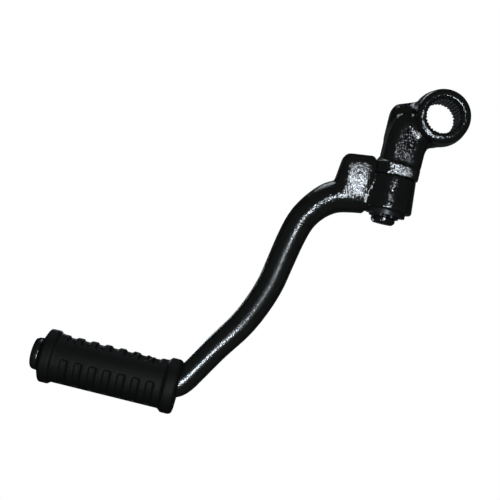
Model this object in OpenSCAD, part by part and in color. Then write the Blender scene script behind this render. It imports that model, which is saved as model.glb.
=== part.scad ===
// Folding kick start lever: a splined knuckle, an arm that folds on the knuckle's pivot pin,
// and a rubber pedal sleeve. Millimetres. The origin is the centre of the splined eye, +Z runs
// along the eye towards the engine, and +Y runs along the pivot pin from the arm to the eye.
// The lever is drawn folded, with the arm on the -X side.

/* [Splined eye] */
// Outer diameter of the eye at its middle
eye_d = 28.2; // [26:0.1:31]
// Draft angle of the forged eye
eye_draft = 7; // [0:0.5:9]
// Length of the eye along its bore
eye_length = 19; // [14:0.5:24]
// Radius of the eye's rounded end rims
eye_rim = 2.2; // [0.5:0.1:3]
// Bore diameter over the tips of the internal teeth
spline_tip_d = 16; // [13:0.1:18]
// Number of internal teeth
spline_teeth = 32; // [20:1:40]
// Depth of the gaps between the teeth
spline_depth = 0.9; // [0.4:0.05:1]
// Width of a gap at the tooth tips
spline_gap = 0.95; // [0.5:0.05:1]
// Size of the lead-in chamfer at each end of the bore
spline_chamfer = 1.5; // [0.5:0.1:2]

/* [Neck of the knuckle] */
// Height of the neck's front face over the eye's middle
neck_front = 7; // [5:0.1:8]
// Depth of the neck's back face behind the eye's middle
neck_back = 13; // [9:0.1:15]
// Width of the neck across the pivot pin
neck_width = 19.6; // [18:0.1:21.5]
// Shift of the neck's middle from the pivot axis towards the eye
neck_shift = 1.6; // [0.5:0.1:1.8]
// Radius of the neck's long front edges
neck_edge = 5.4; // [3:0.1:6]
// Height of the rear shoulder's outer corner over the eye's centre
shoulder_top = 3.3; // [0:0.1:4]

/* [Pivot] */
// Distance of the pivot axis from the centre of the eye
pivot_offset = 15; // [13:0.1:18]
// Distance of the pivot axis behind the eye's middle
pivot_back = 3; // [1:0.1:4]
// Diameter of the pivot pin
pin_d = 12; // [9:0.1:13]
// Radial running clearance between pin and barrel
pin_clearance = 0.05; // [0.02:0.01:0.1]
// Distance from the eye's centre to the seam between collar and barrel
seam_drop = 33; // [30:0.1:38]
// Height of the collar's round side
collar_height = 5.8; // [5.4:0.1:7]
// Radius of the collar, which the ear turns round
collar_r = 12.1; // [11.4:0.1:12.6]
// Radius of the fillet between collar and neck
collar_fillet = 3; // [2:0.1:3.5]
// Distance of the collar's flat front from the pivot axis
collar_flat = 11.1; // [10.4:0.1:11.6]
// Length of the barrel along the pin
barrel_length = 16.9; // [14:0.1:22]
// Barrel radius at the seam
barrel_top_r = 11.4; // [11:0.1:12]
// Barrel radius at its lower end
barrel_end_r = 12.9; // [12.2:0.1:14]
// Gap between faces that turn on each other
face_gap = 0.1; // [0.05:0.01:0.2]
// Angle that the arm folds out through
fold_angle = 90; // [60:5:110]

/* [Washer and circlip] */
// Diameter of the retaining washer
washer_d = 20.2; // [17:0.1:22]
// Thickness of the retaining washer
washer_thick = 2; // [1:0.1:2.5]
// Outside diameter of the circlip
circlip_d = 15.8; // [13.5:0.1:17]
// Thickness of the circlip
circlip_thick = 1.1; // [0.8:0.1:1.5]
// Depth of the circlip's groove in the pin
groove_depth = 0.7; // [0.4:0.1:1]
// Length of pin left below the circlip
pin_tail = 3.2; // [1.5:0.1:5]

/* [Ear and detent] */
// Half thickness of the ear
ear_half = 8.3; // [6.5:0.1:9]
// Distance of the ear's outer face from the pivot axis
ear_reach = 26.3; // [24:0.1:32]
// Height of the ear over the seam
ear_height = 7.2; // [6.6:0.1:8]
// Radius of the ear's rounded edges
ear_edge = 3; // [2:0.1:3.5]
// Diameter of the detent ball
ball_d = 5; // [4:0.1:5]
// Depth of the dimples that the ball drops into
dimple_depth = 0.6; // [0.3:0.1:0.8]
// Height of the ball's centre over the seam
ball_height = 2.8; // [2.7:0.1:3]
// Depth of the ball's hole from the ear's inner face
ball_hole_depth = 12; // [9:0.1:13]
// Wire diameter of the detent spring
spring_wire = 0.7; // [0.4:0.05:0.9]
// Turns of the detent spring
spring_turns = 6; // [3:0.5:8]

/* [Rod and pedal] */
// Diameter of the rod where it leaves the barrel
rod_root_d = 15; // [13:0.1:17]
// Diameter of the rod before the pedal bend
rod_end_d = 12.9; // [10:0.1:14]
// Diameter of the pedal spindle inside the rubber
spindle_d = 12; // [9:0.1:13]
// Diameter of the spindle's head, which keeps the rubber on
head_d = 16.6; // [14:0.1:19]
// Length of the spindle's head
head_length = 4.2; // [3:0.1:8]
// Distance of the pedal axis from the eye's centre, along the pin
pedal_drop = 158.8; // [154:0.1:164]
// Distance of the rubber's inner end from the eye's centre, across the pin
pedal_start = 93; // [92:0.1:97]
// Length of the rubber
rubber_length = 69; // [62:0.1:76]
// Diameter of the rubber between its flanges
rubber_d = 24.2; // [22:0.1:28]
// Diameter of the rubber's outer flange
outer_flange_d = 26.6; // [25:0.1:31]
// Diameter of the rubber's inner flange
inner_flange_d = 27.2; // [25:0.1:31]
// Width of the outer flange
outer_flange = 6.6; // [4:0.1:8]
// Width of the inner flange
inner_flange = 5.8; // [4:0.1:8]
// Pockets in a row
pocket_count = 7; // [3:1:7]
// Distance between pockets
pocket_pitch = 7.1; // [6.5:0.1:7.4]
// Width of a pocket
pocket_width = 3.3; // [2:0.1:4]
// Depth of a pocket
pocket_depth = 0.8; // [0.4:0.1:1.2]
// Angle that a pocket runs round the rubber
pocket_angle = 72; // [50:1:80]
// Angle from the rubber's front to the middle of the first row of pockets
pocket_turn = -27.5; // [-60:0.5:60]
// Gap between spindle and rubber
rubber_fit = 0.05; // [0.02:0.01:0.1]

/* [Hidden] */
$fn = 64;

// Small overlap that makes cuts and joins clean
eps = 0.01;
hull_fn = 32;

// Blocks wider than any piece, which trim off one side of it
trim = 40;

// Places that several pieces share
pin_r = pin_d / 2 - pin_clearance;
ear_inner_r = collar_r + 0.3;
neck_left = -pivot_offset + neck_shift - neck_width / 2;
neck_right = neck_left + neck_width;
seam_y = -seam_drop;
barrel_top_y = seam_y - face_gap;
barrel_end_y = barrel_top_y - barrel_length;
washer_top_y = barrel_end_y - face_gap;
washer_end_y = washer_top_y - washer_thick;
groove_top_y = washer_end_y - 0.05;
groove_end_y = groove_top_y - circlip_thick - face_gap;
pin_end_y = groove_end_y - pin_tail;
ear_top_y = seam_y + ear_height;
ball_y = seam_y + ball_height;
ball_r = ball_d / 2;
ball_hole_r = ball_r + 0.1;
ball_raised_r = collar_r + ball_r + 0.05;
ball_hole_end_r = ear_inner_r + ball_hole_depth;
pedal_y = -pedal_drop;

// Stop dog under the collar, and its groove in the barrel
dog_inner_r = pin_d / 2 + 2;
dog_outer_r = 9.6;
dog_depth = 2.2;
dog_angle = 30;
dog_gap = 0.25;
dog_play = 0.6;

// Centre line of the rod: distance across the pin, distance along the pin, diameter
rod_route = [
    [-24, -46.1, rod_root_d],
    [-33, -47.7, rod_root_d],
    [-41.1, -49.4, 16.2],
    [-48.1, -55.2, 14.9],
    [-53.4, -63.2, 14.1],
    [-56.4, -73, 13.8],
    [-59, -87.2, 13.5],
    [-61, -98.2, 13.4],
    [-64.6, -109.4, 13.3],
    [-70.4, -121.8, 13.2],
    [-79.4, -135.4, 12.9],
    [-87.3, -148.4, rod_end_d],
    [-91, -154.1, 13.1]
];
// The last bend turns the rod into the pedal axis
bend_route = [
    [-2.6, 1.5, 13],
    [-7.4, 0.1, 12.6]
];

// Points of the whole centre line, down to the spindle
function full_route() = concat(
    rod_route,
    [for (p = bend_route) [p[0] - pedal_start + 1.4, p[1] + pedal_y, p[2]]],
    [[-pedal_start - 12, pedal_y, spindle_d], [-pedal_start - 30, pedal_y, spindle_d],
     [-pedal_start - rubber_length - 0.5, pedal_y, spindle_d]]);

// Point between b and c on the smooth curve through a, b, c and d
function smooth_point(a, b, c, d, t) =
    0.5 * (2 * b + (c - a) * t + (2 * a - 5 * b + 4 * c - d) * t * t
           + (3 * b - a - 3 * c + d) * t * t * t);

// Smooth curve through a list of points
function smooth_route(p, steps) =
    let (n = len(p))
    concat([for (i = [0 : n - 2], s = [0 : steps - 1])
               smooth_point(p[max(i - 1, 0)], p[i], p[i + 1], p[min(i + 2, n - 1)], s / steps)],
           [p[n - 1]]);

// Direction of a flat route at one of its points
function route_direction(p, i) =
    let (a = p[max(i - 1, 0)], b = p[min(i + 1, len(p) - 1)],
         v = [b[0] - a[0], b[1] - a[1]])
    v / norm(v);

// A round bar along a flat route, whose points give x, y and diameter
module route_bar(route, sides, extra = 0) {
    n = len(route);
    points = [for (i = [0 : n - 1])
        let (d = route_direction(route, i), r = route[i][2] / 2 + extra)
        for (k = [0 : sides - 1])
            let (a = 360 * k / sides)
            [route[i][0] - d[1] * r * cos(a), route[i][1] + d[0] * r * cos(a), r * sin(a)]];
    faces = concat(
        [[for (k = [0 : sides - 1]) k]],
        [for (i = [0 : n - 2], k = [0 : sides - 1])
            [i * sides + k, (i + 1) * sides + k,
             (i + 1) * sides + (k + 1) % sides, i * sides + (k + 1) % sides]],
        [[for (k = [sides - 1 : -1 : 0]) (n - 1) * sides + k]]);
    polyhedron(points = points, faces = faces, convexity = 6);
}

// Puts children on the pivot axis: their Z becomes the pin's direction, and their Y points back
module at_pivot() {
    translate([-pivot_offset, 0, -pivot_back])
        rotate([-90, 0, 0])
            children();
}

// Puts children on the pedal axis: their Z points outwards along the spindle
module at_pedal() {
    translate([-pedal_start, pedal_y, -pivot_back])
        rotate([0, -90, 0])
            children();
}

// Half profile of a round bar whose two end rims are rounded
module rounded_half(r, h, e) {
    square([r - e, h]);
    translate([0, e])
        square([r, h - 2 * e]);
    translate([r - e, e])
        circle(r = e);
    translate([r - e, h - e])
        circle(r = e);
}

// Forged eye: widest at its middle, with draft to both ends and rounded rims
module eye_blank() {
    half = eye_length / 2;
    rim_z = half - eye_rim;
    rim_r = eye_d / 2 - eye_rim / cos(eye_draft) - rim_z * tan(eye_draft);
    side_r = rim_r + eye_rim * cos(eye_draft);
    side_z = rim_z + eye_rim * sin(eye_draft);
    rotate_extrude() {
        polygon([[0, -half], [rim_r, -half], [side_r, -side_z], [eye_d / 2, 0],
                 [side_r, side_z], [rim_r, half], [0, half]]);
        translate([rim_r, rim_z])
            circle(r = eye_rim);
        translate([rim_r, -rim_z])
            circle(r = eye_rim);
    }
}

// Internal splines: a round bore over the tooth tips, one straight-sided gap per tooth, a
// lead-in chamfer at each end, and a spot face that clears the web behind the eye
module spline_bore() {
    tip_r = spline_tip_d / 2;
    root_r = tip_r + spline_depth;
    half = eye_length / 2;
    mouth_r = tip_r + spline_chamfer;
    spot_r = mouth_r + 0.9;
    cylinder(r = tip_r, h = eye_length + 2, center = true);
    for (side = [0, 1])
        mirror([0, 0, side]) {
            translate([0, 0, half - spline_chamfer])
                cylinder(r1 = tip_r, r2 = mouth_r + eps, h = spline_chamfer + eps);
            translate([0, 0, half])
                cylinder(r = spot_r, h = 8);
        }
    for (k = [0 : spline_teeth - 1])
        rotate([0, 0, 360 * k / spline_teeth])
            translate([0, 0, -half - 1])
                linear_extrude(eye_length + 2)
                    polygon([[tip_r - 0.6, -spline_gap / 2 - 0.12], [root_r, -spline_gap / 2 + 0.18],
                             [root_r, spline_gap / 2 - 0.18], [tip_r - 0.6, spline_gap / 2 + 0.12]]);
}

// Neck between the collar and the eye, forged with round edges and a soft top
module neck() {
    front_end = seam_y + 2;
    back_end = seam_y + 5;
    back_edge = 4;
    corner = neck_edge + 1.4;
    hull() {
        for (p = [[neck_left + corner, -8.6 - corner + neck_edge], [-16.4, -7.3], [-11, -6.9],
                  [neck_right - neck_edge, -8.8], [neck_left + neck_edge, front_end + neck_edge],
                  [neck_right - neck_edge, front_end + neck_edge], [neck_left + neck_edge, -14]])
            translate([p[0], p[1], neck_front - neck_edge])
                sphere(r = neck_edge, $fn = hull_fn);
        for (p = [[neck_left + back_edge, -9], [neck_right - back_edge, -9],
                  [neck_left + back_edge, back_end + back_edge],
                  [neck_right - back_edge, back_end + back_edge]])
            translate([p[0], p[1], back_edge - neck_back])
                sphere(r = back_edge, $fn = hull_fn);
    }
}

// Rear shoulder, which runs up beside the eye behind the neck's front face
module shoulder() {
    corner = 4;
    front_r = 3.77;
    ridge_r = 1.5;
    left = neck_left - 0.4 + corner;
    right = -6;
    rise = 1.1;
    top = shoulder_top - corner;
    hull() {
        for (p = [[left, top], [right, top + corner + rise]])
            translate([p[0], p[1], -4.5])
                cylinder(r = front_r, h = 4, center = true, $fn = hull_fn);
        for (p = [[left - 1, top], [right, top + corner - 0.2]])
            translate([p[0], p[1], 1 - ridge_r])
                sphere(r = ridge_r, $fn = hull_fn);
        for (p = [[left, top - 1], [right, top + corner], [left, -14], [-8, -14]])
            translate([p[0], p[1], corner - neck_back])
                sphere(r = corner, $fn = hull_fn);
    }
}

// Web that fills the corner between the eye and the neck's right side
module eye_web() {
    web_r = 5.5;
    web_x = neck_right + web_r;
    web_y = -19.3;
    translate([0, 0, -8])
        linear_extrude(11)
            difference() {
                polygon([[neck_right - 3, -6], [neck_right - 3, web_y], [web_x, web_y], [web_x, -11]]);
                translate([web_x, web_y])
                    circle(r = web_r);
            }
}

// Collar over the seam, with a fillet up to the neck and a flat front
module collar() {
    chamfer = 0.5;
    at_pivot()
        translate([0, 0, seam_y])
            difference() {
                rotate_extrude()
                    difference() {
                        polygon([[0, 0], [collar_r - chamfer, 0], [collar_r, chamfer],
                                 [collar_r, collar_height + collar_fillet],
                                 [0, collar_height + collar_fillet]]);
                        translate([collar_r, collar_height + collar_fillet])
                            circle(r = collar_fillet);
                    }
                translate([-trim / 2, -collar_flat - trim / 2, -1])
                    cube([trim, trim / 2, collar_height + collar_fillet + 2]);
            }
}

// Pivot pin with its circlip groove and chamfered end
module pivot_pin() {
    chamfer = 1.2;
    at_pivot()
        difference() {
            union() {
                translate([0, 0, pin_end_y + chamfer])
                    cylinder(r = pin_r, h = seam_y - pin_end_y - chamfer + 2);
                translate([0, 0, pin_end_y])
                    cylinder(r1 = pin_r - chamfer, r2 = pin_r, h = chamfer);
            }
            translate([0, 0, groove_end_y])
                difference() {
                    cylinder(r = pin_r + 1, h = groove_top_y - groove_end_y);
                    translate([0, 0, -1])
                        cylinder(r = pin_r - groove_depth, h = groove_top_y - groove_end_y + 2);
                }
        }
}

// Part of a ring round the pivot axis, from one angle to another
module ring_sector(inner_r, outer_r, height, from_angle, to_angle) {
    rotate([0, 0, from_angle])
        rotate_extrude(angle = to_angle - from_angle)
            translate([inner_r, 0])
                square([outer_r - inner_r, height]);
}

// Stop dog under the collar
module stop_dog() {
    at_pivot()
        translate([0, 0, seam_y - dog_depth])
            ring_sector(dog_inner_r, dog_outer_r, dog_depth + 0.5, -dog_angle / 2, dog_angle / 2);
}

// Groove in the barrel's top face that the stop dog runs in
module stop_groove() {
    at_pivot()
        translate([0, 0, seam_y - dog_depth - dog_gap])
            ring_sector(dog_inner_r - dog_gap, dog_outer_r + dog_gap, dog_depth + 1,
                        -dog_angle / 2 - dog_play, dog_angle / 2 + fold_angle + dog_play);
}

// Dimples that the ball drops into, with the arm folded and with it open
module dimples() {
    at_pivot()
        for (a = [180, 180 - fold_angle])
            rotate([0, 0, a])
                translate([collar_r + ball_r - dimple_depth, 0, ball_y])
                    sphere(r = ball_r + 0.05, $fn = 48);
}

module knuckle() {
    color("#1b1c1f")
        difference() {
            union() {
                eye_blank();
                neck();
                shoulder();
                eye_web();
                collar();
                pivot_pin();
                stop_dog();
            }
            spline_bore();
            dimples();
        }
}

// Ear beside the collar, and the block under it that the rod grows out of
module ear_block() {
    outer = -pivot_offset - ear_reach;
    inner = -pivot_offset - ear_inner_r + 3.2;
    e = ear_edge;
    foot_r = rod_root_d / 2;
    depth = ear_half - e;
    hull() {
        for (z = [-depth, depth], p = [[outer + e, ear_top_y - 1.3 - e], [inner - 4, ear_top_y - e],
                                       [inner - e, ear_top_y - 0.8 - e], [outer + e, -37.4],
                                       [inner - e, -39]])
            translate([p[0], p[1], z - pivot_back])
                sphere(r = e, $fn = hull_fn);
        for (p = [[outer + foot_r - 0.4, -42.4], [-36, -47.2], [inner - foot_r + 1, -45.4]])
            translate([p[0], p[1], -pivot_back])
                sphere(r = foot_r, $fn = hull_fn);
    }
}

// Barrel round the pin, slightly wider at its lower end
module barrel() {
    edge = 0.8;
    at_pivot()
        translate([0, 0, barrel_end_y]) {
            cylinder(r1 = barrel_end_r - edge, r2 = barrel_end_r, h = edge);
            translate([0, 0, edge])
                cylinder(r1 = barrel_end_r, r2 = barrel_top_r, h = barrel_length - edge);
        }
}

// Cuts that the collar, the pin, the washer and the ball need in the arm
module arm_cuts() {
    at_pivot() {
        translate([0, 0, barrel_end_y - 12])
            cylinder(r = pin_d / 2, h = barrel_length + 20);
        translate([0, 0, barrel_top_y])
            cylinder(r = ear_inner_r, h = 20);
        translate([0, -trim / 2, barrel_top_y])
            cube([trim, trim, trim / 2]);
        translate([0, 0, barrel_end_y - 12])
            cylinder(r = washer_d / 2 + 0.5, h = 12);
        translate([0, 0, ball_y])
            rotate([0, -90, 0])
                cylinder(r = ball_hole_r, h = ball_hole_end_r);
    }
    stop_groove();
}

// Spindle's round head beyond the rubber
module spindle_head() {
    edge = 2.3;
    at_pedal()
        translate([0, 0, rubber_length])
            rotate_extrude()
                intersection() {
                    translate([0, -head_length])
                        rounded_half(head_d / 2, 2 * head_length, edge);
                    square([head_d, head_length + 1]);
                }
}

module rod(extra = 0) {
    translate([0, 0, -pivot_back])
        route_bar(smooth_route(full_route(), 4), 24, extra);
}

module arm() {
    color("#1a1b1e")
        difference() {
            union() {
                ear_block();
                barrel();
                rod();
                spindle_head();
            }
            arm_cuts();
        }
}

// Half profile of the rubber, from its inner end to the spindle's head
module rubber_half() {
    body_r = rubber_d / 2;
    inner_r = inner_flange_d / 2;
    outer_r = outer_flange_d / 2;
    inner_step = inner_r - body_r;
    outer_step = outer_r - body_r;
    polygon([[0, 0], [inner_r - 1.6, 0], [inner_r - 0.5, 0.6], [inner_r, 1.8],
             [inner_r, inner_flange], [body_r, inner_flange + inner_step],
             [body_r, rubber_length - outer_flange - outer_step], [outer_r, rubber_length - outer_flange],
             [outer_r, rubber_length - 2.4], [outer_r - 0.7, rubber_length - 1.8],
             [head_d / 2 + 0.2, rubber_length], [0, rubber_length]]);
}

// Pockets across the rubber, in three rows with plain strips between them
module pockets() {
    first = inner_flange + (rubber_length - inner_flange - outer_flange
                            - (pocket_count - 1) * pocket_pitch) / 2;
    for (row = [0 : 2], k = [0 : pocket_count - 1])
        rotate([0, 0, 120 * row])
            translate([0, 0, first + k * pocket_pitch - pocket_width / 2])
                ring_sector(rubber_d / 2 - pocket_depth, rubber_d / 2 + 1, pocket_width,
                            pocket_turn - pocket_angle / 2, pocket_turn + pocket_angle / 2);
}

module pedal_rubber() {
    color("#232323")
        difference() {
            at_pedal()
                rotate_extrude()
                    rubber_half();
            at_pedal()
                pockets();
            rod(rubber_fit);
        }
}

module detent_ball() {
    color("#9a9da3")
        at_pivot()
            translate([-ball_raised_r, 0, ball_y])
                sphere(r = ball_r, $fn = 48);
}

// Coil spring between the ball and the end of its hole
module detent_spring() {
    wire_r = spring_wire / 2;
    coil_r = ball_hole_r - wire_r - 0.15;
    reach = ball_r + wire_r + 0.02;
    first_r = ball_raised_r + sqrt(reach * reach - coil_r * coil_r);
    last_r = ball_hole_end_r - wire_r - 0.05;
    steps = 16;
    sides = 6;
    count = spring_turns * steps;
    points = [for (i = [0 : count], k = [0 : sides - 1])
        let (turn = 360 * i / steps, a = 360 * k / sides,
             lift = first_r + (last_r - first_r) * max(0, min(1, (i - steps / 2) / (count - steps))),
             r = coil_r + wire_r * cos(a))
        [r * cos(turn), r * sin(turn), lift + wire_r * sin(a)]];
    faces = concat(
        [[for (k = [0 : sides - 1]) k]],
        [for (i = [0 : count - 1], k = [0 : sides - 1])
            [i * sides + k, (i + 1) * sides + k,
             (i + 1) * sides + (k + 1) % sides, i * sides + (k + 1) % sides]],
        [[for (k = [sides - 1 : -1 : 0]) count * sides + k]]);
    color("#8f9298")
        at_pivot()
            translate([0, 0, ball_y])
                rotate([0, -90, 0])
                    polyhedron(points = points, faces = faces, convexity = 8);
}

module retaining_washer() {
    color("#202124")
        at_pivot()
            translate([0, 0, washer_end_y])
                difference() {
                    cylinder(d = washer_d, h = washer_thick);
                    translate([0, 0, -1])
                        cylinder(r = pin_r + 0.15, h = washer_thick + 2);
                }
}

// Retaining ring with its open side and two small lugs
module circlip() {
    inner_r = pin_r - groove_depth + 0.05;
    color("#202124")
        at_pivot()
            translate([0, 0, groove_end_y + face_gap / 2])
                linear_extrude(circlip_thick)
                    rotate([0, 0, 90])
                        difference() {
                            union() {
                                translate([0.4, 0])
                                    circle(d = circlip_d - 1.2);
                                for (side = [-1, 1])
                                    translate([-circlip_d / 2 + 1.1, side * 2.6])
                                        circle(r = 1.5);
                            }
                            circle(r = inner_r);
                            translate([-circlip_d, -1.3])
                                square([circlip_d, 2.6]);
                            for (side = [-1, 1])
                                translate([-circlip_d / 2 + 1.1, side * 2.6])
                                    circle(r = 0.6);
                        }
}

knuckle();
arm();
pedal_rubber();
detent_ball();
detent_spring();
retaining_washer();
circlip();
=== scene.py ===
import math

import bpy
import numpy as np
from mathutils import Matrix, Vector


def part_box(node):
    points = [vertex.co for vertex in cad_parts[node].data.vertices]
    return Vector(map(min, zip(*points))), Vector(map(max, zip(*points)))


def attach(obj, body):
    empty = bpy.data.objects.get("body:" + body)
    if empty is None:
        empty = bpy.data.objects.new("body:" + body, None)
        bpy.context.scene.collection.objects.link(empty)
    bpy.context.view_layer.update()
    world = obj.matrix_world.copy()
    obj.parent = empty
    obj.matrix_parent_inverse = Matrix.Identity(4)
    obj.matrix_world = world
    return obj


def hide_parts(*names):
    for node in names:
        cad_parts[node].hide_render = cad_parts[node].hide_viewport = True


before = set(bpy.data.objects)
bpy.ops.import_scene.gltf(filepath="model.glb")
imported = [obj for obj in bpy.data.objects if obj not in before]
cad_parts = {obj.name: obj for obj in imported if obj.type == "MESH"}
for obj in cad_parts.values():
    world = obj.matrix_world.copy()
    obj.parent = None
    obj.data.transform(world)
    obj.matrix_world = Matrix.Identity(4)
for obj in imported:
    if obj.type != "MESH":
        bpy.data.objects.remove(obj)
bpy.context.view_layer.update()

# Painted forgings: the knuckle and the arm, black gloss paint over a grainy forged skin that gets
# smoother down the rod. Each is the CAD solid rebuilt as an even mesh, with edges and inner
# corners softened as forging and paint leave them; the bore and the pin stay as machined.


def new_finish(name):
    """Returns a new material with its node tree and its shader."""
    finish = bpy.data.materials.new(name)
    finish.use_nodes = True
    return finish, finish.node_tree, finish.node_tree.nodes["Principled BSDF"]


def place_on_piece(tree):
    """Returns the place on the piece, which its patterns are fixed to."""
    return tree.nodes.new("ShaderNodeTexCoord").outputs["Object"]


def grain(tree, scale, detail=2, roughness=0.5):
    """Returns an uneven grain, from 0 to 1."""
    node = tree.nodes.new("ShaderNodeTexNoise")
    node.inputs["Scale"].default_value = scale
    node.inputs["Detail"].default_value = detail
    node.inputs["Roughness"].default_value = roughness
    tree.links.new(place_on_piece(tree), node.inputs["Vector"])
    return node.outputs["Fac"]


def work_out(tree, operation, *values):
    """Returns the result of a sum whose values are sockets or plain numbers."""
    node = tree.nodes.new("ShaderNodeMath")
    node.operation = operation
    for socket, value in zip(node.inputs, values):
        if isinstance(value, bpy.types.NodeSocket):
            tree.links.new(value, socket)
        else:
            socket.default_value = value
    return node.outputs[0]


def between(tree, value, low, high, start=0, end=1):
    """Returns low where the value is at its start, high at its end, and even steps between."""
    node = tree.nodes.new("ShaderNodeMapRange")
    node.inputs["From Min"].default_value = start
    node.inputs["From Max"].default_value = end
    node.inputs["To Min"].default_value = low
    node.inputs["To Max"].default_value = high
    tree.links.new(value, node.inputs["Value"])
    return node.outputs["Result"]


def two_blacks(tree, shader, share, deep, worn):
    """Colours the finish with a deep and a worn black, mixed by the share."""
    node = tree.nodes.new("ShaderNodeMix")
    node.data_type = "RGBA"
    node.inputs[6].default_value = deep
    node.inputs[7].default_value = worn
    tree.links.new(share, node.inputs[0])
    tree.links.new(node.outputs[2], shader.inputs["Base Color"])


def raise_skin(tree, shader, heights, depth):
    """Makes the finish catch the light as a skin with these heights, and returns its strength."""
    bump = tree.nodes.new("ShaderNodeBump")
    bump.inputs["Distance"].default_value = depth
    tree.links.new(heights, bump.inputs["Height"])
    tree.links.new(bump.outputs["Normal"], shader.inputs["Normal"])
    return bump.inputs["Strength"]


grainy_above_y = -0.046
smoother_below_y = -0.078
paint, tree, shader = new_finish("black_paint")
coarse = grain(tree, 260)
fine = grain(tree, 1500, detail=1, roughness=0.4)
strength = raise_skin(tree, shader, work_out(tree, "MULTIPLY_ADD", coarse, 0.6, fine), 0.00013)
along_y = tree.nodes.new("ShaderNodeSeparateXYZ")
tree.links.new(place_on_piece(tree), along_y.inputs[0])
grainy = between(tree, along_y.outputs["Y"], 0.65, 1.0, start=smoother_below_y, end=grainy_above_y)
tree.links.new(grainy, strength)
gloss = between(tree, coarse, 0.08, 0.15)
duller = work_out(tree, "MULTIPLY_ADD", grainy, -0.3, 0.3)
tree.links.new(work_out(tree, "ADD", gloss, duller), shader.inputs["Roughness"])
two_blacks(tree, shader, coarse, (0.002, 0.002, 0.0019, 1), (0.006, 0.006, 0.0056, 1))
shader.inputs["Specular IOR Level"].default_value = 0.6


def coat(mesh, finish):
    """Gives a mesh one finish all over."""
    mesh.materials.clear()
    mesh.materials.append(finish)


def blank(node, name, finish):
    """Returns a new piece with a copy of a CAD node's mesh."""
    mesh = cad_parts[node].data.copy()
    coat(mesh, finish)
    piece = bpy.data.objects.new(name, mesh)
    bpy.context.scene.collection.objects.link(piece)
    return piece


def even_skin(piece, voxel):
    """Rebuilds the piece as an even mesh."""
    even = piece.modifiers.new("even", "REMESH")
    even.mode = "VOXEL"
    even.voxel_size = voxel


def soften(piece, name, passes):
    """Rounds off the piece's edges, and returns the modifier that does it."""
    ease = piece.modifiers.new(name, "SMOOTH")
    ease.factor = 0.5
    ease.iterations = passes
    return ease


def settle(piece):
    """Makes the shape under the modifiers the piece's own plain mesh, and returns that."""
    graph = bpy.context.evaluated_depsgraph_get()
    done = bpy.data.meshes.new_from_object(piece.evaluated_get(graph))
    piece.modifiers.clear()
    piece.vertex_groups.clear()
    piece.data = done
    return done


def smooth_coat(mesh, finish):
    """Gives a mesh one finish all over, shaded smooth."""
    coat(mesh, finish)
    mesh.polygons.foreach_set("use_smooth", [True] * len(mesh.polygons))


def lean_back(y, z, front, start, slope):
    """Leans a front face back, from its start and over at most 20 mm."""
    z[front] -= (slope * np.clip(y - start, 0, 0.02))[front]


pivot_x = -0.015
pivot_z = -0.003


def square_collar(x, y, z):
    """Runs the collar's flat front on to a rounded corner, in line with the neck's right side,
    and lets its left side fall away. Only the front half changes, less and less at the neck."""
    collar_r = 0.0121
    flat_r = 0.0111
    side_r = 0.0108
    squareness = 7
    skin_r = 0.0075
    skin_fade = 0.003
    top_y = -0.0262
    top_fade = 0.0023
    ear_y = -0.0331
    left_x = -0.0012
    left_slope = 0.12
    left_r = 0.007
    left_fade = 0.004
    across, up = x - pivot_x, z - pivot_z
    turn = np.arctan2(np.maximum(across, 0), np.maximum(up, 1e-6))
    now = np.minimum(collar_r, flat_r / np.maximum(np.cos(turn), 1e-3))
    square = ((np.sin(turn) / side_r) ** squareness
              + (np.cos(turn) / flat_r) ** squareness) ** (-1 / squareness)
    skin = np.clip((np.hypot(across, up) - skin_r) / skin_fade, 0, 1)
    skin *= np.clip((top_y - y) / top_fade, 0, 1) * (y > ear_y) * (up > 0)
    grow = 1 + skin * (across > 0) * np.maximum(square / now - 1, 0)
    x[:] = across * grow + pivot_x
    z[:] = up * grow + pivot_z
    near_front = np.clip((up - left_r) / left_fade, 0, 1)
    z -= skin * near_front * left_slope * np.clip(left_x - across, 0, 0.01)


def swell_foot(x, y, z, front):
    """Swells the ear's foot into the rod's round, with a rounded edge on the barrel's side."""
    rod_y = -0.0458
    rod_r = 0.0081
    edge_x = -0.0272
    edge_r = 0.003
    far_x = -0.034
    low_y = -0.0505
    high_y = -0.037
    crown = pivot_z + np.sqrt(np.clip(rod_r ** 2 - np.minimum(y - rod_y, 0) ** 2, 0, 1))
    crown -= edge_r - np.sqrt(edge_r ** 2 - np.clip(x - edge_x, 0, edge_r) ** 2)
    foot = front & (x > far_x) & (y > low_y) & (y < high_y)
    z[foot] = np.maximum(z[foot], crown[foot])


bore_r = 0.0102
pin_r = 0.0066
pin_top_y = -0.033
facing_front = 0.45
neck_y = -0.0255
eye_edge_r = 0.0110
eye_front_r = 0.0142
ear_x = -0.0285
ear_front_x = -0.0245
ear_low_y = -0.058
ear_front_low_y = -0.060
ear_lean_y = -0.046
head_x = -0.1625

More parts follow.
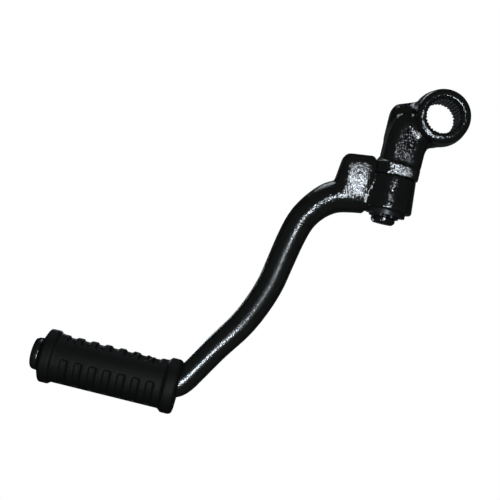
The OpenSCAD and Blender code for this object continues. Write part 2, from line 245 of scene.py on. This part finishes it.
for node, voxel, passes in (("knuckle", 0.00036, 9), ("arm", 0.00042, 12)):
    forged = blank(node, node + "_forged", paint)
    even_skin(forged, voxel)
    done = settle(forged)
    place = np.zeros(len(done.vertices) * 3)
    done.vertices.foreach_get("co", place)
    x, y, z = place.reshape(-1, 3).T
    facing = np.zeros(len(done.vertices) * 3)
    done.vertices.foreach_get("normal", facing)
    front = facing.reshape(-1, 3)[:, 2] > facing_front
    from_eye = np.hypot(x, y)
    from_pin = np.hypot(x - pivot_x, z - pivot_z)
    machined = (from_eye < bore_r) | ((from_pin < pin_r) & (y < pin_top_y))
    if node == "knuckle":
        rough = (y > neck_y) & (from_eye > eye_edge_r)
        front &= (y > neck_y) & (from_eye > eye_front_r)
        lean_back(y, z, front, neck_y, 0.052)
        square_collar(x, y, z)
    else:
        rough = (x < ear_x) & (y > ear_low_y) | (x < head_x)
        front &= (x < ear_front_x) & (y > ear_front_low_y) & (z > 0)
        swell_foot(x, y, z, front)
        lean_back(y, z, front, ear_lean_y, 0.03)
    done.vertices.foreach_set("co", place)
    for name, inside, count in (("soft", ~machined, passes), ("rough", rough & ~machined, 40),
                                ("front", front, 120)):
        group = forged.vertex_groups.new(name=name)
        group.add([int(i) for i in np.nonzero(inside)[0]], 1.0, "REPLACE")
        soften(forged, name, count).vertex_group = name
    smooth_coat(settle(forged), paint)
    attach(forged, node)
    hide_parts(node)

# Spline teeth: 32 crisp broached teeth standing on the bore's wall, one tooth drawn along the
# bore and repeated round it, in darkened bare steel.


def steel(name, scale, smoothest, roughest, colour, specular=0.5, metallic=0):
    """Returns bare steel with a slightly uneven polish."""
    finish, tree, shader = new_finish(name)
    polish = between(tree, grain(tree, scale), smoothest, roughest)
    tree.links.new(polish, shader.inputs["Roughness"])
    shader.inputs["Base Color"].default_value = colour
    shader.inputs["Specular IOR Level"].default_value = specular
    shader.inputs["Metallic"].default_value = metallic
    return finish


def new_pattern(name, sizes):
    """Returns a new node group with these sizes as its inputs, and the sockets they come from."""
    tree = bpy.data.node_groups.new(name, "GeometryNodeTree")
    tree.interface.new_socket("Geometry", in_out="OUTPUT", socket_type="NodeSocketGeometry")
    tree.interface.new_socket("Geometry", in_out="INPUT", socket_type="NodeSocketGeometry")
    for size, (kind, _) in sizes.items():
        tree.interface.new_socket(size, in_out="INPUT", socket_type=kind)
    return tree, tree.nodes.new("NodeGroupInput").outputs


def repeat(tree, shape, points, axis, angle):
    """Returns the shape repeated on the points, each turned by its angle about one axis."""
    turned = tree.nodes.new("ShaderNodeCombineXYZ")
    tree.links.new(angle, turned.inputs[axis])
    node = tree.nodes.new("GeometryNodeInstanceOnPoints")
    tree.links.new(points.outputs[0], node.inputs["Points"])
    tree.links.new(shape, node.inputs["Instance"])
    tree.links.new(turned.outputs[0], node.inputs["Rotation"])
    return node.outputs[0]


def end_pattern(tree, shape, finish):
    """Ends the pattern as real geometry with its finish."""
    solid = tree.nodes.new("GeometryNodeRealizeInstances")
    tree.links.new(shape, solid.inputs[0])
    painted = tree.nodes.new("GeometryNodeSetMaterial")
    tree.links.new(solid.outputs[0], painted.inputs["Geometry"])
    tree.links.new(finish, painted.inputs["Material"])
    tree.links.new(painted.outputs[0], tree.nodes.new("NodeGroupOutput").inputs[0])


def put_pattern_on(piece, tree, sizes):
    """Puts the pattern on the piece, in these sizes."""
    modifier = piece.modifiers.new(tree.name, "NODES")
    modifier.node_group = tree
    for item in tree.interface.items_tree:
        if item.in_out == "INPUT" and item.name in sizes:
            modifier[item.identifier] = sizes[item.name][1]


bore_steel = steel("bore_steel", 900, 0.25, 0.45, (0.05, 0.052, 0.055, 1))
sizes = {"Teeth": ("NodeSocketInt", 32), "Tip width": ("NodeSocketFloat", 0.00058),
         "Root width": ("NodeSocketFloat", 0.00125), "Height": ("NodeSocketFloat", 0.0011),
         "Middle": ("NodeSocketVector", (0.00853, 0, 0)),
         "Low end": ("NodeSocketVector", (0, 0, -0.0062)),
         "High end": ("NodeSocketVector", (0, 0, 0.0058)),
         "Material": ("NodeSocketMaterial", bore_steel)}
tree, given = new_pattern("spline_teeth", sizes)
section = tree.nodes.new("GeometryNodeCurvePrimitiveQuadrilateral")
section.mode = "TRAPEZOID"
section.inputs["Offset"].default_value = 0
tree.links.new(given["Tip width"], section.inputs["Bottom Width"])
tree.links.new(given["Root width"], section.inputs["Top Width"])
tree.links.new(given["Height"], section.inputs["Height"])
path = tree.nodes.new("GeometryNodeCurvePrimitiveLine")
tree.links.new(given["Low end"], path.inputs["Start"])
tree.links.new(given["High end"], path.inputs["End"])
tooth = tree.nodes.new("GeometryNodeCurveToMesh")
tooth.inputs["Fill Caps"].default_value = True
tree.links.new(path.outputs[0], tooth.inputs["Curve"])
tree.links.new(section.outputs[0], tooth.inputs["Profile Curve"])
stand = tree.nodes.new("GeometryNodeTransform")
stand.inputs["Rotation"].default_value = (0, 0, -math.pi / 2)
tree.links.new(tooth.outputs[0], stand.inputs["Geometry"])
tree.links.new(given["Middle"], stand.inputs["Translation"])
points = tree.nodes.new("GeometryNodePoints")
points.inputs["Position"].default_value = (0, 0, 0)
tree.links.new(given["Teeth"], points.inputs["Count"])
index = tree.nodes.new("GeometryNodeInputIndex").outputs[0]
share = work_out(tree, "DIVIDE", work_out(tree, "ADD", index, 0.5), given["Teeth"])
angle = work_out(tree, "MULTIPLY", share, 2 * math.pi)
end_pattern(tree, repeat(tree, stand.outputs[0], points, "Z", angle), given["Material"])
teeth = bpy.data.objects.new("spline_teeth", bpy.data.meshes.new("spline_teeth"))
bpy.context.scene.collection.objects.link(teeth)
put_pattern_on(teeth, tree, sizes)
settle(teeth)
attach(teeth, "knuckle")

# Pedal rubber: the CAD sleeve in matt black, with its three rows of seven cross pockets recut with
# rounded corners and all edges softened by the mould.
rubber, tree, shader = new_finish("black_rubber")
fine = grain(tree, 900, detail=4)
raise_skin(tree, shader, fine, 0.00015).default_value = 0.25
tree.links.new(between(tree, fine, 0.5, 0.7), shader.inputs["Roughness"])
two_blacks(tree, shader, fine, (0.002, 0.002, 0.0019, 1), (0.0036, 0.0036, 0.0034, 1))
shader.inputs["Specular IOR Level"].default_value = 0.1
shader.inputs["Specular Tint"].default_value = (1, 0.97, 0.9, 1)

pocket_corner_r = 0.0004
weld_gap = 0.000001
row_angle = math.radians(120)
low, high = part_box("pedal_rubber")
inner_end = (high.x, (low.y + high.y) / 2, (low.z + high.z) / 2)
sizes = {"Columns": ("NodeSocketInt", 7), "Rows": ("NodeSocketInt", 3),
         "Pitch": ("NodeSocketFloat", 0.0071), "First": ("NodeSocketFloat", 0.0128),
         "Width": ("NodeSocketFloat", 0.0037), "Radius": ("NodeSocketFloat", 0.0122),
         "Height": ("NodeSocketFloat", 0.0020), "Sweep": ("NodeSocketFloat", math.radians(74)),
         "Turn": ("NodeSocketFloat", math.radians(-27.5)),
         "Inner end": ("NodeSocketVector", inner_end),
         "Material": ("NodeSocketMaterial", rubber)}
tree, given = new_pattern("pockets", sizes)
arc = tree.nodes.new("GeometryNodeCurveArc")
arc.inputs["Resolution"].default_value = 40
tree.links.new(given["Radius"], arc.inputs["Radius"])
tree.links.new(work_out(tree, "MULTIPLY", given["Sweep"], -0.5), arc.inputs["Start Angle"])
tree.links.new(given["Sweep"], arc.inputs["Sweep Angle"])
section = tree.nodes.new("GeometryNodeCurvePrimitiveQuadrilateral")
tree.links.new(given["Height"], section.inputs["Width"])
tree.links.new(given["Width"], section.inputs["Height"])
rounded = tree.nodes.new("GeometryNodeFilletCurve")
rounded.mode = "POLY"
rounded.inputs["Count"].default_value = 4
rounded.inputs["Radius"].default_value = pocket_corner_r
tree.links.new(section.outputs[0], rounded.inputs["Curve"])
cutter = tree.nodes.new("GeometryNodeCurveToMesh")
cutter.inputs["Fill Caps"].default_value = True
tree.links.new(arc.outputs["Curve"], cutter.inputs["Curve"])
tree.links.new(rounded.outputs[0], cutter.inputs["Profile Curve"])
lay = tree.nodes.new("GeometryNodeTransform")
lay.inputs["Rotation"].default_value = (0, -math.pi / 2, 0)
tree.links.new(cutter.outputs[0], lay.inputs["Geometry"])
index = tree.nodes.new("GeometryNodeInputIndex").outputs[0]
column = work_out(tree, "MODULO", index, given["Columns"])
row = work_out(tree, "FLOOR", work_out(tree, "DIVIDE", index, given["Columns"]))
along = work_out(tree, "MULTIPLY_ADD", column, given["Pitch"], given["First"])
back = tree.nodes.new("ShaderNodeCombineXYZ")
tree.links.new(work_out(tree, "MULTIPLY", along, -1), back.inputs["X"])
middle = tree.nodes.new("ShaderNodeVectorMath")
tree.links.new(back.outputs[0], middle.inputs[0])
tree.links.new(given["Inner end"], middle.inputs[1])
points = tree.nodes.new("GeometryNodePoints")
tree.links.new(work_out(tree, "MULTIPLY", given["Columns"], given["Rows"]), points.inputs["Count"])
tree.links.new(middle.outputs[0], points.inputs["Position"])
angle = work_out(tree, "MULTIPLY", work_out(tree, "MULTIPLY_ADD", row, row_angle, given["Turn"]), -1)
welded = tree.nodes.new("GeometryNodeMergeByDistance")
welded.inputs["Distance"].default_value = weld_gap
tree.links.new(given["Geometry"], welded.inputs["Geometry"])
cut = tree.nodes.new("GeometryNodeMeshBoolean")
cut.operation = "DIFFERENCE"
cut.solver = "EXACT"
tree.links.new(welded.outputs[0], cut.inputs["Mesh 1"])
tree.links.new(repeat(tree, lay.outputs[0], points, "X", angle), cut.inputs["Mesh 2"])
end_pattern(tree, cut.outputs["Mesh"], given["Material"])

sleeve = blank("pedal_rubber", "rubber_sleeve", rubber)
put_pattern_on(sleeve, tree, sizes)
even_skin(sleeve, 0.00042)
soften(sleeve, "ease", 6)
smooth_coat(settle(sleeve), rubber)
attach(sleeve, "arm")
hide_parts("pedal_rubber")

# Washer and circlip: plain stamped steel, blackened and oiled. The washer lies under the barrel,
# and the circlip snaps into the pin's groove below it and holds the arm on.
black_steel = steel("black_steel", 1100, 0.25, 0.45, (0.006, 0.006, 0.007, 1), specular=0.3)
for node in ("retaining_washer", "circlip"):
    coat(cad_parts[node].data, black_steel)

# Detent ball and spring: bright hardened steel, hidden in the ear's hole. The spring pushes the
# ball into a dimple of the collar at each end of the arm's turn.
bright_steel = steel("bright_steel", 2000, 0.15, 0.3, (0.55, 0.56, 0.58, 1), metallic=1)
for node in ("detent_ball", "detent_spring"):
    coat(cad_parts[node].data, bright_steel)

# Studio: a plain floor below the unfolded arm's reach, floor and world white to the camera, a
# small flash beside the lens, a second lamp off the pedal's end, and two faint ones for the
# hidden side.


def white_to_camera(tree, other, white, end):
    """Shows the camera plain white, and all other rays the other shader."""
    path = tree.nodes.new("ShaderNodeLightPath")
    mix = tree.nodes.new("ShaderNodeMixShader")
    white.inputs["Color"].default_value = (1, 1, 1, 1)
    white.inputs["Strength"].default_value = 1
    tree.links.new(path.outputs["Is Camera Ray"], mix.inputs[0])
    tree.links.new(other.outputs[0], mix.inputs[1])
    tree.links.new(white.outputs[0], mix.inputs[2])
    tree.links.new(mix.outputs[0], tree.nodes[end].inputs["Surface"])


floor_paint, tree, shader = new_finish("floor")
shader.inputs["Base Color"].default_value = (0.05, 0.05, 0.05, 1)
shader.inputs["Roughness"].default_value = 0.8
white_to_camera(tree, shader, tree.nodes.new("ShaderNodeEmission"), "Material Output")
floor_z = -0.18
reach = 1.5
mesh = bpy.data.meshes.new("floor")
mesh.from_pydata([(-reach, -reach, floor_z), (reach, -reach, floor_z),
                  (reach, reach, floor_z), (-reach, reach, floor_z)], [], [(0, 1, 2, 3)])
coat(mesh, floor_paint)
floor = bpy.data.objects.new("floor", mesh)
bpy.context.scene.collection.objects.link(floor)

world = bpy.data.worlds.new("studio")
world.use_nodes = True
tree = world.node_tree
room = tree.nodes["Background"]
room.inputs["Color"].default_value = (1, 1, 1, 1)
room.inputs["Strength"].default_value = 0.05
white_to_camera(tree, room, tree.nodes.new("ShaderNodeBackground"), "World Output")
bpy.context.scene.world = world

cool_white = (0.84, 0.93, 1.0)
for name, spot, aim, width, power in (
        ("flash", (0.006, -0.026, 0.42), (-0.05, -0.06, 0), 0.06, 1.0),
        ("low", (-0.105, -0.225, 0.42), (-0.06, -0.09, 0), 0.06, 1.4),
        ("behind", (-0.16, 0.20, -0.12), (-0.07, -0.07, 0), 0.16, 0.3),
        ("beneath", (-0.15, -0.14, -0.17), (-0.08, -0.09, 0), 0.14, 0.3)):
    light = bpy.data.lights.new(name, "AREA")
    light.size = width
    light.energy = power
    light.color = cool_white
    lamp = bpy.data.objects.new(name, light)
    lamp.location = spot
    lamp.visible_camera = False
    lamp.rotation_euler = (Vector(aim) - Vector(spot)).to_track_quat("-Z", "Y").to_euler()
    bpy.context.scene.collection.objects.link(lamp)

# Camera: straight down on the folded lever from 400 mm, turned as in the photo, with a lens whose
# field takes in the whole lever.
camera_height = 0.400
lens = bpy.data.cameras.new("camera")
lens.sensor_width = 36
lens.lens = 58.98
lens.clip_start = 0.01
camera = bpy.data.objects.new("camera", lens)
camera.location = (-0.0748, -0.0846, camera_height)
camera.rotation_euler = (0, 0, math.radians(13.9))
bpy.context.scene.collection.objects.link(camera)
bpy.context.scene.camera = camera
bpy.context.scene.view_settings.view_transform = "Standard"
